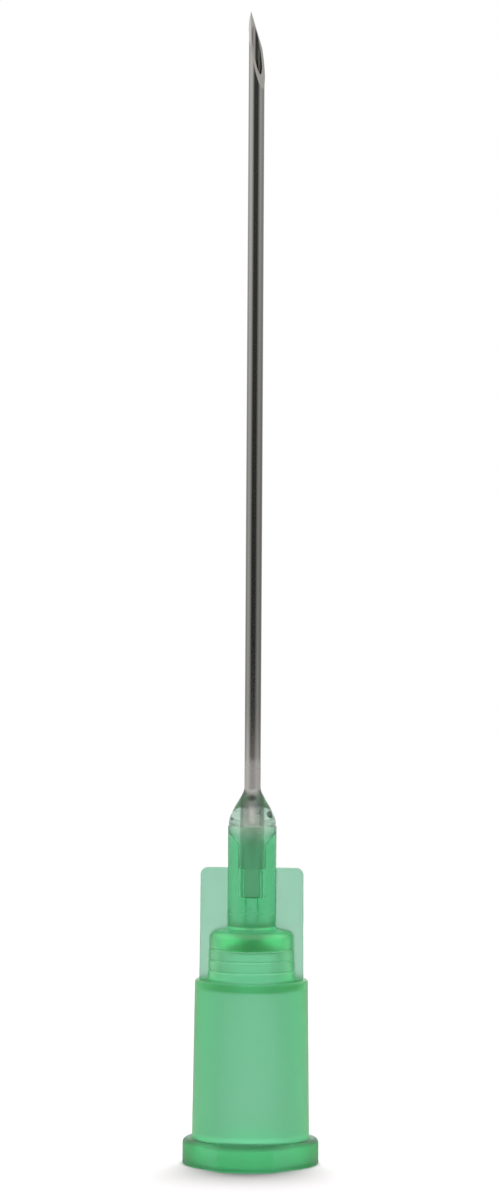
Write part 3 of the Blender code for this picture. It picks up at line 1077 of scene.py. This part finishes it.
def met_by_steel(shader, x, y, up):
    """How bright the surroundings are to polished steel, dark on the camera's side."""
    bearing = shader.math("ARCTAN2", x, -y)
    stops = [(0.5 + degrees / 360.0, (grey, grey, grey)) for degrees, grey in SURROUNDINGS]
    turn = 0.5 + bearing * (1.0 / math.tau)
    around = shader.node("ShaderNodeValToRGB", {"stops": stops}, {"Fac": turn})["Color"]
    level_with = shader.node("ShaderNodeRGBToBW", inputs={"Color": around})["Val"]
    lowest, highest = CLIMB_RANGE
    climb = shader.math("MINIMUM", LEVEL_GAIN + CLIMB * up, highest)
    level_with = level_with * shader.math("MAXIMUM", climb, lowest)
    overhead = up.smooth(*OVERHEAD)
    return MET_GAIN * (level_with + overhead * (OVERHEAD_GREY - level_with))


def light_world(scene):
    """White surroundings, with a darker studio in the steel and a soft box for the floor."""
    world = bpy.data.worlds.new("studio")
    scene.world = world
    shader = Shader(world)
    x, y, up = shader.axes(shader.node("ShaderNodeTexCoord")["Generated"])
    ray = shader.node("ShaderNodeLightPath")
    outside = ray["Transmission Depth"] < 0.5
    through = ray["Transmission Depth"] > 0.5
    on_floor = ray["Diffuse Depth"] > 0.5
    met = ray["Is Glossy Ray"] * (MET_INSIDE + (1.0 - MET_INSIDE) * outside)
    level = 1.0 - met * (1.0 - met_by_steel(shader, x, y, up))
    soft_box = FLOOR_FILL + SOFT_BOX * up.smooth(*SOFT_BOX_EDGE) + THROUGH_PLASTIC * through
    level = level + on_floor * (soft_box - level)
    surroundings = shader.node(
        "ShaderNodeBackground", inputs={"Color": rgba(WHITE), "Strength": level}
    )
    shader.node("ShaderNodeOutputWorld", inputs={"Surface": surroundings["Background"]})


def hang_lamp(scene, look):
    """A soft lamp high behind the needle, which draws the short shadow in front of it."""
    lamp = bpy.data.lights.new("lamp", "SUN")
    lamp.energy = look.lamp_strength
    lamp.angle = look.lamp_width
    placed = bpy.data.objects.new("lamp", lamp)
    placed.rotation_euler = (-look.lamp_lean, 0.0, 0.0)
    placed.visible_glossy = False
    placed.visible_transmission = False
    scene.collection.objects.link(placed)


def place_camera(scene, look):
    """A long lens a little above the needle, at the photograph's angle."""
    flat = math.cos(look.elevation)
    back = Vector((
        math.sin(look.azimuth) * flat,
        -math.cos(look.azimuth) * flat,
        math.sin(look.elevation),
    ))
    turn = (-back).to_track_quat("-Z", "Y").to_matrix() @ Matrix.Rotation(look.roll, 3, "Z")
    camera = bpy.data.cameras.new("camera")
    camera.lens = look.lens
    placed = bpy.data.objects.new("camera", camera)
    placed.location = AIM + back * look.distance
    placed.rotation_euler = turn.to_euler()
    scene.collection.objects.link(placed)
    scene.camera = placed


class NEEDLE_PT_panel(Panel):
    """Lists the needle's pieces and its studio"""

    bl_label = "Hypodermic needle"
    bl_idname = "NEEDLE_PT_panel"
    bl_space_type = "VIEW_3D"
    bl_region_type = "UI"
    bl_category = "Needle"

    def draw(self, context):
        scene = context.scene
        groups = (
            ("needle.hub", scene.needle_hub),
            ("needle.cannula", scene.needle_cannula),
            ("needle.adhesive", scene.needle_adhesive),
            ("needle.studio", scene.needle_studio),
        )
        for operator, look in groups:
            box = self.layout.box()
            for name in look.__annotations__:
                box.prop(look, name)
            box.operator(operator)


CLASSES = (
    NeedleHubLook,
    NeedleCannulaLook,
    NeedleAdhesiveLook,
    NeedleStudioLook,
    NEEDLE_OT_hub,
    NEEDLE_OT_cannula,
    NEEDLE_OT_adhesive,
    NEEDLE_OT_studio,
    NEEDLE_PT_panel,
)


def register():
    for cls in CLASSES:
        bpy.utils.register_class(cls)
    bpy.types.Scene.needle_hub = PointerProperty(type=NeedleHubLook)
    bpy.types.Scene.needle_cannula = PointerProperty(type=NeedleCannulaLook)
    bpy.types.Scene.needle_adhesive = PointerProperty(type=NeedleAdhesiveLook)
    bpy.types.Scene.needle_studio = PointerProperty(type=NeedleStudioLook)


def unregister():
    del bpy.types.Scene.needle_studio
    del bpy.types.Scene.needle_adhesive
    del bpy.types.Scene.needle_cannula
    del bpy.types.Scene.needle_hub
    for cls in reversed(CLASSES):
        bpy.utils.unregister_class(cls)


def main():
    """Makes the pieces and the studio."""
    register()
    bpy.ops.needle.hub()
    bpy.ops.needle.cannula()
    bpy.ops.needle.adhesive()
    bpy.ops.needle.studio()


if __name__ == "__main__":
    main()
